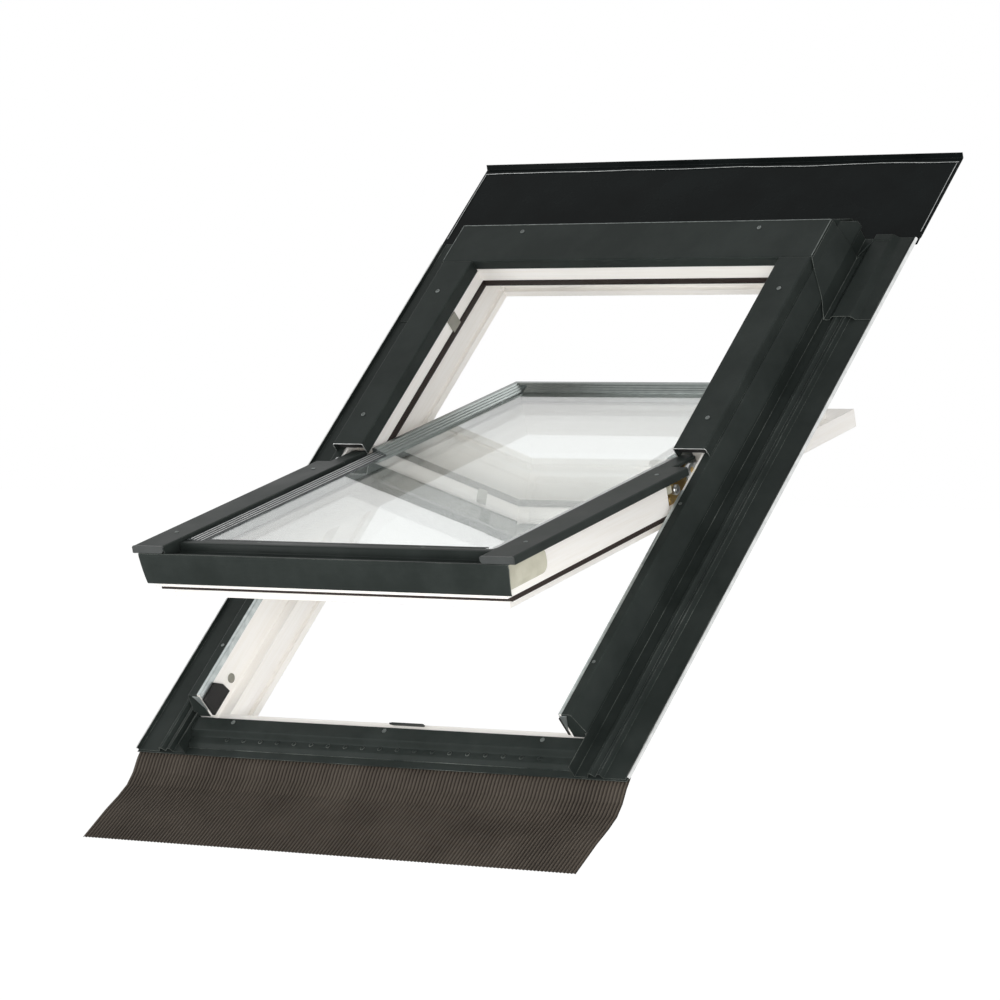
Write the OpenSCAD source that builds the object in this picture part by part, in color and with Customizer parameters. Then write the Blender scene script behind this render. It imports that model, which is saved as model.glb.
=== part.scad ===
// Centre-pivot roof window with its flashing, pitched as on the roof, sash standing open.
// Every piece is drawn in the window's own plane: X across, Y up the slope, Z outward from the roof.
// One wrapper then tips the whole window to the roof pitch, and another opens the sash.

/* [Setting] */
// Pitch of the roof in degrees
roof_pitch = 45; // [20:1:70]
// Angle at which the sash stands open, in degrees from closed
open_angle = 30; // [5:1:60]

/* [Frame] */
// Outer width of the fixed frame
frame_w = 780; // [660:1:1140]
// Outer length of the fixed frame, up the slope
frame_l = 1180; // [980:1:1400]
// Thickness of a jamb
jamb_t = 28; // [24:0.5:40]
// Thickness of the head
head_t = 60; // [50:1:80]
// Depth of the sill from its outer face to its inner stop
sill_t = 60; // [54:1:70]
// Depth of the frame below the roof plane
frame_below = 70; // [64:1:110]
// Height of the jambs above the roof plane
frame_above = 68; // [62:0.5:76]
// Reach of the outer stop over the upper half of the sash
upper_stop = 38; // [32:0.5:44]
// Thickness of the outer stop
upper_stop_h = 38; // [34:0.5:42]
// Reach of the head's outer stop
head_stop = 68; // [60:1:80]
// Reach of the inner stop below the lower half of the sash
lower_stop = 20; // [14:0.5:24]
// Height of the inner stop above the roof plane
lower_stop_top = 6; // [0:0.5:8]
// Thickness of the inner stop
lower_stop_h = 26; // [18:0.5:34]
// Height of the sill's raised outer part
sill_top = 18; // [14:0.5:19]
// Width of the lining groove
groove_w = 12; // [8:0.5:16]
// Depth of the lining groove
groove_d = 8; // [4:0.5:10]

/* [Pivot] */
// Place of the pivot axis up the slope, from the middle of the frame
pivot_y = -18; // [-40:1:0]
// Height of the pivot axis above the roof plane
pivot_z = 71; // [70:0.5:74]
// Radius of the pivot pin
pin_r = 4.5; // [3:0.25:6]
// Running clearance of the pin in the sash plate
pin_clear = 0.3; // [0.2:0.05:0.6]
// Thickness of the hinge plates
hinge_t = 4; // [3:0.25:4.5]
// Radius of the boss round the pin
boss_r = 11; // [9:0.5:12]

/* [Sash] */
// Gap between the sash's outer flange and the jamb
sash_gap = 10; // [8:0.5:12]
// Gap between the sash and the edge of a stop
stop_gap = 6; // [4:0.5:8]
// Inner face of the sash, from the roof plane
sash_in = -8; // [-16:0.5:-4]
// Width of a stile on its inner face
stile_w = 52; // [44:1:64]
// Underside of the sash's lower flange, from the roof plane
flange_z = 15; // [14:0.5:18]
// Top of the sash timber beside the glass, from the roof plane
upstand_z = 62; // [60:0.5:62]
// Width of the timber beside the glass
upstand_w = 12; // [10:0.5:14]
// Depth of the ledge under the glass, below the top of the sash timber
rebate = 14; // [12:0.5:16]
// Width of the bottom rail
bottom_rail_w = 52; // [44:1:70]
// Width of the top rail
top_rail_w = 100; // [84:1:120]

/* [Glazing] */
// Thickness of a glass pane
pane_t = 4; // [3:0.5:6]
// Space between the panes
pane_gap = 16; // [12:0.5:16]
// Clearance round the edge of the glass
glass_gap = 4; // [3:0.5:6]
// Thickness of the tape under the glass
tape_t = 2; // [1:0.25:3]
// Width of the glazing bead over the glass
bead_w = 22; // [16:0.5:26]
// Height of the lower glazing bead above the glass
bead_h = 6; // [4:0.25:7]
// Height of the stepped bead round the upper half of the glass
upper_bead_h = 12.5; // [8:0.25:13]
// Steps in a glazing bead
bead_steps = 4; // [2:1:6]

/* [Covers] */
// Height of the covers above the roof plane
cover_top = 88; // [87:0.5:92]
// Thickness of the sheet metal
sheet_t = 1.2; // [0.8:0.1:1.6]
// Width of a side cover
cover_w = 64; // [56:0.5:66]
// Depth by which the sash's covers lie below the frame's covers
cover_drop = 2.5; // [2:0.1:3.5]
// Length of a head cover's flat face up the slope
head_cover_l = 90; // [80:1:110]
// Distance from the pivot axis up to the split between the covers
split_up = 30; // [28:0.5:40]
// Distance from the pivot axis down to the full width of the sash cover
wide_down = 36; // [35:0.5:44]
// Radius at the bends of the covers
bend_r = 2.5; // [1.5:0.25:3]

/* [Flashing] */
// Width of the side flashing beyond the jamb
side_w = 103; // [92:1:140]
// Height of the flashing's ribs
rib_h = 8; // [5:0.5:12]
// Reach of the head flashing above the frame
head_reach = 200; // [150:1:260]
// Reach of the sill flashing below the frame
sill_reach = 26; // [20:1:40]
// Length of the pleated apron below the sill flashing
apron_l = 190; // [140:1:260]
// Spacing of the apron's pleats
pleat_pitch = 6.9; // [6:0.1:12]
// Height of the apron's pleats
pleat_h = 1.8; // [1:0.1:3]

/* [Fixings] */
// Width of a mounting bracket along the jamb
bracket_l = 60; // [40:1:90]
// Reach of a mounting bracket's foot from the jamb
bracket_reach = 50; // [44:1:70]
// Thickness of the bracket steel
bracket_t = 3; // [2:0.25:4]
// Radius of the screw hole in a bracket's foot
foot_hole_r = 3.25; // [2.5:0.25:4]
// Distance of the brackets from the middle of the frame
bracket_y = 350; // [200:1:380]

/* [Lock] */
// Travel of the latch bolt
latch_travel = 16; // [14:0.5:18]
// Length of the handle's lever
lever_l = 110; // [80:1:140]
// Clearance round the latch bolt
latch_clear = 0.4; // [0.3:0.05:0.8]

/* [Hidden] */
$fn = 48;

// Colours
timber_white = "whitesmoke";
metal_dark = "#3a3e3c";
rubber_brown = "#2a1b12";
steel_zinc = "silver";

// Frame faces
half_w = frame_w / 2;
half_l = frame_l / 2;
jamb_x = half_w - jamb_t;
head_y = half_l - head_t;
sill_y = sill_t - half_l;
sill_lip_y = sill_y - 20;
jamb_end_y = sill_lip_y + 5;
head_chamfer_l = 30;
head_chamfer_h = 28;
groove_z = 12 - frame_below;
upper_stop_z = frame_above - upper_stop_h;
upper_stop_x = jamb_x - upper_stop;
head_stop_y = head_y - head_stop;
lower_stop_x = jamb_x - lower_stop;
lower_stop_end = pivot_y - 72;
upper_stop_start = pivot_y + 58;

// Sash faces
core_x = lower_stop_x - stop_gap;
core_in_x = core_x - stile_w;
flange_x = jamb_x - sash_gap;
narrow_gap = 4;
narrow_x = upper_stop_x - narrow_gap;
narrow_y = head_stop_y - narrow_gap;
top_y = head_y - 10;
core_bottom_y = sill_y + 12;
flange_bottom_y = sill_lip_y + 8;
seal_h = 6;
upper_flange_z = upper_stop_z - seal_h - 1.5;
flange_end = pivot_y - 64;
full_core_end = pivot_y + 40;
ledge_z = upstand_z - rebate;
rail_upstand_y = flange_bottom_y + 48;

// Glass
glass_x = narrow_x - upstand_w - glass_gap;
glass_top_y = narrow_y - upstand_w - glass_gap;
glass_bottom_y = rail_upstand_y + glass_gap;
glass_in_z = ledge_z + tape_t;
glass_z = glass_in_z + 2 * pane_t + pane_gap;
bead_x = narrow_x - 4;

// Covers
cover_in_x = bead_x + 2;
cover_out_x = cover_in_x + cover_w;
sash_cover_z = cover_top - cover_drop;
cladding_z = frame_above + 2;
lip_w = 6;
skirt_x = half_w + 6;
skirt_z = 27;
split_y = pivot_y + split_up;
wide_y = pivot_y - wide_down;
head_cover_y = head_stop_y - 5;
sash_end_y = jamb_end_y - 3;
cap_h = 12;
sill_ledge = lower_stop_top + sheet_t;
bend_steps = 3;

// Flashing
flash_x = half_w + side_w;
flash_t = 1;
head_edge_y = half_l + head_reach;
sill_edge_y = -half_l - sill_reach;
corner_leg_y = half_l - 197;
rib_in = [34, 51];
rib_half = 6;
lap_gap = 0.3;

// Lock
latch_z = [-2, 6];
latch_w = 18;
latch_l = 40;
latch_y = top_y - 1;
keep_slot = latch_w / 2 + 3;
keep_depth = latch_y + latch_travel + 4 - head_y;
spindle_r = 4;
handle_y = top_y - 24;
rose_t = 6;

// Unit vector, left normal, list turned round
function unit(v) = v / norm(v);
function left(v) = [-v[1], v[0]];
function turned(list) = [for (i = [len(list) - 1:-1:0]) list[i]];
// Corners of an open path replaced by short curves that start d from each corner
function bent(path, d, n = bend_steps) = concat(
    [path[0]],
    [for (i = [1:len(path) - 2])
        let (a = path[i] + d * unit(path[i - 1] - path[i]),
             b = path[i] + d * unit(path[i + 1] - path[i]))
        for (k = [0:n])
            let (t = k / n) (1 - t) * (1 - t) * a + 2 * t * (1 - t) * path[i] + t * t * b],
    [path[len(path) - 1]]);
// Path moved sideways by s, mitred at its corners
function moved(path, s) = let (n = len(path) - 1) [for (i = [0:n])
    let (a = left(unit(path[max(i, 1)] - path[max(i, 1) - 1])),
         b = left(unit(path[min(i, n - 1) + 1] - path[min(i, n - 1)])),
         m = unit(a + b))
    path[i] + m * s / (m * a)];
// Outline of folded sheet whose outer face follows the path
function sheet(path, t) = concat(path, turned(moved(path, -t)));

// The window's plane tipped to the roof
module pitched() {
    rotate([roof_pitch, 0, 0]) children();
}
// The sash turned open about its pivot
module opened() {
    pitched() translate([0, pivot_y, pivot_z]) rotate([-open_angle, 0, 0])
        translate([0, -pivot_y, -pivot_z]) children();
}
// Right-hand piece as it is, left-hand piece mirrored
module side(s) {
    mirror([s < 0 ? 1 : 0, 0, 0]) children();
}
module block(x, y, z) {
    translate([x[0], y[0], z[0]]) cube([x[1] - x[0], y[1] - y[0], z[1] - z[0]]);
}
// Section in X and Z run up the slope
module run_y(outline, y) {
    translate([0, y[1], 0]) rotate([90, 0, 0]) linear_extrude(y[1] - y[0]) polygon(outline);
}
// Section in Y and Z run across
module run_x(outline, x) {
    translate([x[0], 0, 0]) rotate([90, 0, 90]) linear_extrude(x[1] - x[0]) polygon(outline);
}
// Fixed frame

module frame_head() {
    body = [[head_y, -frame_below], [half_l, -frame_below], [half_l, frame_above - head_chamfer_h],
        [half_l - head_chamfer_l, frame_above], [head_y, frame_above]];
    color(timber_white) pitched() difference() {
        union() {
            run_x(body, [-jamb_x, jamb_x]);
            block([-upper_stop_x, upper_stop_x], [head_stop_y, head_y], [upper_stop_z, frame_above]);
        }
        block([-jamb_x, jamb_x], [head_y, head_y + groove_d], [groove_z, groove_z + groove_w]);
        block([-keep_slot, keep_slot], [head_y - 1, head_y + keep_depth], [latch_z[0] - 3, latch_z[1] + 3]);
    }
}

function sill_outline() = [[sill_y, -frame_below], [sill_y, lower_stop_top], [sill_lip_y, lower_stop_top],
    [sill_lip_y, sill_top], [sill_lip_y - 24, sill_top - 1], [sill_lip_y - 30, lower_stop_top],
    [-half_l, lower_stop_top], [-half_l, -frame_below]];

module frame_sill() {
    color(timber_white) pitched() difference() {
        run_x(sill_outline(), [-jamb_x, jamb_x]);
        block([-jamb_x, jamb_x], [sill_y - groove_d, sill_y], [groove_z, groove_z + groove_w]);
    }
}

module frame_jamb(s) {
    // Bevel under the sloping skirt of the cladding
    bevel_w = 9;
    bevel_h = 30;
    jamb_bevel = [[half_w - bevel_w, frame_above + 1], [half_w - bevel_w, frame_above],
        [half_w, frame_above - bevel_h], [half_w + 1, frame_above - bevel_h], [half_w + 1, frame_above + 1]];
    body = [[-half_l, -frame_below], [-half_l, 4], [jamb_end_y - 3, 8], [jamb_end_y, 10],
        [jamb_end_y, frame_above], [half_l - head_chamfer_l, frame_above],
        [half_l, frame_above - head_chamfer_h], [half_l, -frame_below]];
    color(timber_white) pitched() side(s) difference() {
        union() {
            run_x(body, [jamb_x, half_w]);
            block([lower_stop_x, jamb_x], [sill_y, lower_stop_end],
                [lower_stop_top - lower_stop_h, lower_stop_top]);
            block([upper_stop_x, jamb_x], [upper_stop_start, head_y], [upper_stop_z, frame_above]);
        }
        block([jamb_x, jamb_x + groove_d], [sill_y, head_y], [groove_z, groove_z + groove_w]);
        run_y(jamb_bevel, [-half_l - 1, half_l + 1]);
    }
}

module frame_gasket() {
    seal_w = 14;
    inset = 2;
    z = [upper_stop_z - seal_h, upper_stop_z];
    color(rubber_brown) pitched() {
        for (s = [-1, 1])
            side(s) block([upper_stop_x + inset, upper_stop_x + inset + seal_w],
                [upper_stop_start + inset, head_y - inset], z);
        block([-upper_stop_x, upper_stop_x], [head_stop_y + inset, head_stop_y + inset + seal_w], z);
    }
}

// Cladding and covers

module jamb_cladding(s) {
    path = concat([[jamb_x + lip_w, frame_above]], bent([[jamb_x + lip_w, cladding_z],
        [half_w - 5, cladding_z], [skirt_x, skirt_z + 4], [skirt_x, skirt_z]], bend_r));
    chamfer_y = half_l - head_chamfer_l;
    back_y = half_l + 1;
    back_z = cladding_z - (back_y - chamfer_y) * head_chamfer_h / head_chamfer_l;
    // White edge left beside the end plate
    bare = 5;
    inside = concat(path, [[half_w + 1, skirt_z], [half_w + 1, sill_top], [jamb_x + bare, sill_top],
        [jamb_x + bare, frame_above]]);
    slope = [[chamfer_y - 1, cladding_z - sheet_t], [chamfer_y - 1, cladding_z], [chamfer_y, cladding_z],
        [back_y, back_z], [back_y, back_z - sheet_t], [chamfer_y, cladding_z - sheet_t]];
    color(metal_dark) pitched() side(s) {
        difference() {
            run_y(sheet(path, sheet_t), [jamb_end_y, back_y]);
            run_x([[chamfer_y, cladding_z], [chamfer_y, cover_top], [back_y + 1, cover_top], [back_y + 1, back_z],
                [back_y, back_z]], [jamb_x, skirt_x + 1]);
        }
        intersection() {
            run_x(slope, [cover_out_x + 1.5, skirt_x + 1]);
            run_y(inside, [chamfer_y - 2, back_y]);
        }
        run_y(inside, [jamb_end_y - sheet_t, jamb_end_y]);
    }
}

module sill_cladding() {
    top = sill_top + sheet_t;
    toe_y = -half_l - 12;
    front = bent([[sill_lip_y + sheet_t, lower_stop_top + 4], [sill_lip_y + sheet_t, top],
        [sill_lip_y - 24.5, top - 1], [sill_lip_y - 31, sill_ledge], [-half_l - 4, sill_ledge],
        [toe_y, flash_t]], 2);
    end_x = half_w + 0.9;
    color(metal_dark) pitched() difference() {
        union() {
            run_x(sheet(turned(front), sheet_t), [-end_x, end_x]);
            for (s = [-1, 1])
                side(s) run_x(concat(front, [[sill_lip_y + sheet_t, flash_t]]), [half_w + 0.1, end_x]);
        }
        run_x(sill_outline(), [-jamb_x - 1, jamb_x + 1]);
        block([-flash_x, flash_x], [sill_edge_y, -half_l], [-1, flash_t]);
    }
}

module upper_cover(s) {
    path = bent([[cover_in_x, frame_above - 4], [cover_in_x, cover_top],
        [cover_out_x - 1, cover_top], [cover_out_x + 0.5, cladding_z + 0.1]], bend_r);
    color(metal_dark) pitched() side(s)
        run_y(sheet(path, sheet_t), [split_y, head_cover_y - 0.5]);
}

module head_cover() {
    flat_y = head_cover_y + head_cover_l;
    back_y = half_l + 4;
    back_z = frame_above - head_chamfer_h + 4;
    end_x = cover_out_x + 0.5;
    lip_x = jamb_x + lip_w - 1;
    path = bent([[head_cover_y, cladding_z], [head_cover_y, cover_top], [flat_y, cover_top],
        [back_y, back_z], [back_y, back_z - 20]], bend_r);
    end_face = [[head_cover_y, cladding_z], [head_cover_y, cover_top - 0.5], [flat_y, cover_top - 0.5],
        [back_y - 0.6, back_z], [back_y - 0.6, back_z - 3], [half_l - head_chamfer_l, cladding_z]];
    color(metal_dark) pitched() {
        run_x(sheet(path, sheet_t), [-end_x, end_x]);
        block([-lip_x, lip_x], [head_cover_y, head_cover_y + sheet_t], [frame_above, cladding_z + 1]);
        for (s = [-1, 1])
            side(s) run_x(end_face, [end_x - sheet_t, end_x]);
    }
}

// Flashing

module head_flashing() {
    half = flash_x + 7;
    upstand_h = 34;
    hem_l = 5;
    hem_h = 9;
    path = bent([[half_l, 0], [head_edge_y - hem_l, 0], [head_edge_y, hem_h]], 1);
    color("#26282a") pitched() {
        run_x(sheet(turned(path), flash_t), [-half, half]);
        block([-half_w, half_w], [half_l, half_l + flash_t], [0, upstand_h]);
    }
}

// Corner piece: a wall up the side of the head, and a leg that laps over the side flashing
module flashing_corner(s) {
    low_z = 3 * flash_t + lap_gap;
    lap_z = low_z + rib_h;
    out_x = flash_x - 5;
    near_x = skirt_x + 1.7;
    flat_y = head_cover_y + head_cover_l;
    valley_y = flat_y - 7;
    rim_y = half_l - 15;
    rim_x = near_x + 20;
    rim_r = 1.4;
    bend_z = skirt_z + 4;
    leg = bent([[near_x - 0.5, low_z + 0.5], [near_x + 10, low_z], [rim_x, lap_z],
        [near_x + 54, lap_z], [near_x + 64, low_z], [out_x, low_z]], 2);
    wall = [[cover_out_x + 2.2, cover_top - 2], [half_w - 3.3, cladding_z + 0.5], [near_x, bend_z],
        [near_x, low_z - 0.5]];
    rim = [[near_x, valley_y, low_z + 1], [rim_x, rim_y, lap_z + 0.4], [near_x + 52, rim_y, lap_z + 0.4]];
    color(metal_dark) pitched() side(s) {
        difference() {
            run_y(sheet(leg, flash_t), [corner_leg_y, half_l - 1]);
            translate([0, 0, low_z - 3]) linear_extrude(rib_h + 6)
                polygon([[near_x - 2, valley_y], [near_x, valley_y], [rim_x, rim_y], [rim_x, half_l],
                    [near_x - 2, half_l]]);
        }
        intersection() {
            run_y(sheet(wall, flash_t), [corner_leg_y, half_l]);
            run_x([[head_cover_y, cover_top], [flat_y, cover_top], [valley_y, low_z - 1],
                [corner_leg_y, low_z - 1]], [cover_out_x, near_x + 1]);
        }
        for (i = [0, 1])
            hull() for (p = [rim[i], rim[i + 1]])
                translate(p) sphere(r = rim_r, $fn = 14);
    }
}

module side_flashing(s) {
    upturn = 24;
    crest = 2;
    hem = [3, 7];
    top = flash_t + rib_h;
    r1 = half_w + rib_in[0];
    r2 = half_w + rib_in[1];
    path = [[half_w + 2, upturn], [half_w + 2, flash_t], [r1 - rib_half, flash_t], [r1 - crest, top],
        [r1 + crest, top], [(r1 + r2) / 2, 2.5 * flash_t], [r2 - crest, top], [r2 + crest, top],
        [r2 + rib_half, flash_t], [flash_x - hem[0], flash_t], [flash_x, hem[1]]];
    color(metal_dark) pitched() side(s)
        run_y(sheet(turned(path), flash_t), [sill_edge_y + 3, half_l - 2]);
}

module sill_flashing() {
    color(metal_dark) pitched()
        block([-flash_x, flash_x], [sill_edge_y, -half_l], [0, flash_t]);
}

// Pleated apron: it drops below the slope, then lifts over the tiles
module apron() {
    count = floor(2 * flash_x / pleat_pitch);
    thick = 1;
    stations = [[0, -0.2 - pleat_h], [0.1, -6], [0.22, -14], [0.34, -17], [0.48, -13], [0.66, -5], [1, 6]];
    n = 2 * count;
    last = len(stations) - 1;
    function row(p, d) = [for (i = [0:n])
        [(2 * i / n - 1) * flash_x, sill_edge_y + 12 - p[0] * (apron_l + 12),
            p[1] + d + pleat_h * (i % 2)]];
    function at(k, i, low) = (2 * k + low) * (n + 1) + i;
    color("#3a342f") pitched() polyhedron(
        [for (p = stations) each concat(row(p, 0), row(p, -thick))],
        concat(
            [for (k = [0:last - 1], i = [0:n - 1]) each [
                [at(k, i, 0), at(k, i + 1, 0), at(k + 1, i + 1, 0), at(k + 1, i, 0)],
                [at(k, i, 1), at(k + 1, i, 1), at(k + 1, i + 1, 1), at(k, i + 1, 1)]]],
            [for (k = [0:last - 1]) each [
                [at(k, 0, 0), at(k + 1, 0, 0), at(k + 1, 0, 1), at(k, 0, 1)],
                [at(k, n, 0), at(k, n, 1), at(k + 1, n, 1), at(k + 1, n, 0)]]],
            [for (i = [0:n - 1]) each [
                [at(0, i, 0), at(0, i, 1), at(0, i + 1, 1), at(0, i + 1, 0)],
                [at(last, i, 0), at(last, i + 1, 0), at(last, i + 1, 1), at(last, i, 1)]]]));
}

module flashing_rivets() {
    pitch = 35;
    count = floor((jamb_x - 20) / pitch);
    color("#2e3230") pitched()
        for (i = [-count:count])
            translate([i * pitch, -half_l + 4, sill_ledge]) cylinder(r = 2.2, h = 1.2);
}

module cover_screws() {
    head_r = 4;
    head_h = 1.6;
    mid_x = cover_in_x + cover_w * 0.55;
    color("dimgray") pitched() for (s = [-1, 1]) side(s) {
        translate([jamb_x * 0.68, head_cover_y + head_cover_l - 18, cover_top]) cylinder(r = head_r, h = head_h);
        for (y = [split_y + 70, head_cover_y - 75])
            translate([mid_x, y, cover_top]) cylinder(r = head_r, h = head_h);
        for (y = [pivot_y - 75, jamb_end_y + 110])
            translate([jamb_x + lip_w + 7, y, cladding_z]) cylinder(r = 3, h = 1);
    }
}

// Pivot hardware on the frame

module pivot_bracket(s) {
    color(steel_zinc) pitched() side(s) difference() {
        union() {
            block([jamb_x - hinge_t, jamb_x], [pivot_y - 42, pivot_y + 42], [pivot_z - 52, pivot_z - 10]);
            hull() {
                translate([jamb_x - hinge_t, pivot_y, pivot_z]) rotate([0, 90, 0])
                    cylinder(r = boss_r, h = hinge_t, $fn = 32);
                block([jamb_x - hinge_t, jamb_x], [pivot_y - 26, pivot_y + 26], [pivot_z - 12, pivot_z - 10]);
            }
            translate([jamb_x - sash_gap + 1, pivot_y, pivot_z]) rotate([0, 90, 0])
                cylinder(r = boss_r - 2.5, h = sash_gap - 1);
        }
        translate([jamb_x - sash_gap, pivot_y, pivot_z]) rotate([0, 90, 0])
            cylinder(r = pin_r + pin_clear / 2, h = sash_gap + 1);
    }
}

module pivot_pin(s) {
    color("goldenrod") pitched() side(s) translate([core_x + 1, pivot_y, pivot_z]) rotate([0, 90, 0])
        cylinder(r = pin_r, h = jamb_x - core_x - 1);
}

// Small pieces on the frame

module latch_keep() {
    half = 28;
    color("dimgray") pitched() difference() {
        block([-half, half], [head_y - 1.5, head_y], [latch_z[0] - 12, latch_z[1] + 12]);
        block([-keep_slot, keep_slot], [head_y - 2, head_y + 1], [latch_z[0] - 2, latch_z[1] + 2]);
    }
}

module jamb_plugs() {
    plug_r = 8;
    plug_t = 2;
    plug_up = 60;
    plug_z = 28;
    color("#8c8a80") pitched() for (s = [-1, 1])
        side(s) translate([jamb_x - plug_t, sill_y + plug_up, plug_z]) rotate([0, 90, 0])
            cylinder(r = plug_r, h = plug_t);
}

module corner_seals() {
    seal_t = 5.5;
    foot = 54;
    shoulder = 38;
    z = [sill_top + sheet_t + 1, 42, 58];
    outline = [[jamb_end_y, z[0]], [jamb_end_y + foot, z[0]], [jamb_end_y + foot - 4, z[1]],
        [jamb_end_y + shoulder, z[2]], [jamb_end_y, z[2]]];
    color("#1c1a18") pitched() for (s = [-1, 1])
        side(s) run_x(outline, [jamb_x - seal_t, jamb_x]);
}

module jamb_catches() {
    catch_t = 2;
    catch_l = 26;
    catch_h = 26;
    y = head_stop_y - 100;
    z = upper_stop_z + 2;
    color("#8c8a80") pitched() for (s = [-1, 1])
        side(s) block([upper_stop_x - catch_t, upper_stop_x], [y - catch_l, y], [z, z + catch_h]);
}

module mounting_bracket(s, y) {
    top = -2;
    leg = 43;
    screw_r = 5;
    hole_x = half_w + 35;
    color(steel_zinc) pitched() side(s) difference() {
        union() {
            block([half_w, half_w + bracket_t], [y - bracket_l / 2, y + bracket_l / 2], [top - leg, top]);
            block([half_w, half_w + bracket_reach], [y - bracket_l / 2, y + bracket_l / 2],
                [top - bracket_t, top]);
            for (k = [-1, 1])
                translate([half_w + bracket_t, y + k * bracket_l / 4, top - leg / 2 - bracket_t])
                    rotate([0, 90, 0]) cylinder(r = screw_r, h = 2);
        }
        for (k = [-1, 1])
            translate([hole_x, y + k * bracket_l / 4, top - bracket_t - 1])
                cylinder(r = foot_hole_r, h = bracket_t + 2);
    }
}

// Sash timber

module sash_stile(s) {
    color(timber_white) opened() side(s) {
        block([core_in_x, core_x], [core_bottom_y, top_y], [sash_in, upper_flange_z]);
        block([core_in_x, narrow_x - upstand_w], [flange_bottom_y, narrow_y], [flange_z, ledge_z]);
        block([narrow_x - upstand_w, narrow_x], [flange_bottom_y, narrow_y], [flange_z, upstand_z]);
        block([narrow_x - 1, core_x], [flange_bottom_y, full_core_end], [flange_z, upstand_z]);
        block([core_x - 1, flange_x], [flange_bottom_y, flange_end], [flange_z, upstand_z]);
        block([core_in_x, narrow_x], [flange_bottom_y, rail_upstand_y], [ledge_z - 1, upstand_z]);
        block([core_in_x, narrow_x], [narrow_y - upstand_w, narrow_y], [ledge_z - 1, upstand_z]);
    }
}

module sash_top_rail() {
    in_y = top_y - top_rail_w;
    outline = [[in_y, sash_in], [top_y, sash_in], [top_y, upper_flange_z], [narrow_y, upper_flange_z],
        [narrow_y, upstand_z], [narrow_y - upstand_w, upstand_z], [narrow_y - upstand_w, ledge_z],
        [in_y, ledge_z]];
    w = latch_w / 2 + latch_clear;
    color(timber_white) opened() difference() {
        run_x(outline, [-core_in_x, core_in_x]);
        block([-w, w], [latch_y - latch_l - latch_clear, top_y + 1],
            [latch_z[0] - latch_clear, latch_z[1] + latch_clear]);
        translate([0, handle_y, sash_in - 1]) cylinder(r = spindle_r + latch_clear, h = 1 - sash_in + latch_z[0]);
    }
}

module sash_bottom_rail() {
    in_y = core_bottom_y + bottom_rail_w;
    outline = [[core_bottom_y, sash_in], [in_y, sash_in], [in_y, ledge_z], [rail_upstand_y, ledge_z],
        [rail_upstand_y, upstand_z], [flange_bottom_y, upstand_z], [flange_bottom_y, flange_z],
        [core_bottom_y, flange_z]];
    color(timber_white) opened() run_x(outline, [-core_in_x, core_in_x]);
}

// Glazing

module pane(z) {
    block([-glass_x, glass_x], [glass_bottom_y, glass_top_y], [z, z + pane_t]);
}

module outer_pane() {
    color("lightblue", 0.4) opened() pane(glass_z - pane_t);
}

module inner_pane() {
    color("lightblue", 0.4) opened() pane(glass_in_z);
}

module pane_spacer() {
    inset = 5;
    bar = 8;
    z = [glass_in_z + pane_t, glass_z - pane_t];
    x = glass_x - inset;
    y = [glass_bottom_y + inset, glass_top_y - inset];
    color("gray") opened() {
        for (s = [-1, 1])
            side(s) block([x - bar, x], y, z);
        block([bar - x, x - bar], [y[0], y[0] + bar], z);
        block([bar - x, x - bar], [y[1] - bar, y[1]], z);
    }
}

module glazing_tape() {
    tape_w = 10;
    z = [ledge_z, glass_in_z];
    color(rubber_brown) opened() {
        for (s = [-1, 1])
            side(s) block([glass_x - tape_w, glass_x], [glass_bottom_y, glass_top_y], z);
        block([tape_w - glass_x, glass_x - tape_w], [glass_bottom_y, glass_bottom_y + tape_w], z);
        block([tape_w - glass_x, glass_x - tape_w], [glass_top_y - tape_w, glass_top_y], z);
    }
}

module sash_gasket() {
    z = [lower_stop_top + 1, flange_z];
    y0 = core_bottom_y - 12;
    color(rubber_brown) opened() {
        for (s = [-1, 1])
            side(s) block([core_x + 1, flange_x - 0.5], [y0, flange_end - 2], z);
        block([-core_x, core_x], [y0, core_bottom_y - 1], z);
    }
}

// Stepped section of a glazing bead: the first number runs inward from the bead's outer face
function bead_section(h) = let (
    leg = bead_x - narrow_x + upstand_w,
    tread = bead_w / bead_steps,
    rise = h / (bead_steps + 0.5))
    concat([[0, upstand_z], [0, glass_z + h]],
        [for (k = [1:bead_steps]) each [[leg + (k - 0.6) * tread, glass_z + h - (k - 1) * rise],
            [leg + (k - 0.3) * tread, glass_z + h - k * rise]]],
        [[leg + bead_w, glass_z + rise / 2], [leg + bead_w, glass_z], [leg, glass_z], [leg, upstand_z]]);

module side_bead(s, y, h) {
    outline = [for (p = bead_section(h)) [bead_x - p[0], p[1]]];
    opened() side(s) run_y(outline, y);
}

module upper_bead(s) {
    color("#8d9290") side_bead(s, [full_core_end, narrow_y - upstand_w - glass_gap], upper_bead_h);
}

module lower_bead(s) {
    color(metal_dark) side_bead(s, [glass_bottom_y, full_core_end], bead_h);
}

module top_bead() {
    outline = [for (p = bead_section(upper_bead_h)) [narrow_y - 4 - p[0], p[1]]];
    color("#8d9290") opened() difference() {
        run_x(outline, [-bead_x, bead_x]);
        for (s = [-1, 1])
            side_cut(s, glass_top_y);
    }
}

// Room for the side beads at the ends of the top bead
module side_cut(s, y) {
    side(s) block([bead_x - bead_w - upstand_w, bead_x + 1], [y - 2 * bead_w, y], [upstand_z - 1, cover_top]);
}

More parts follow.
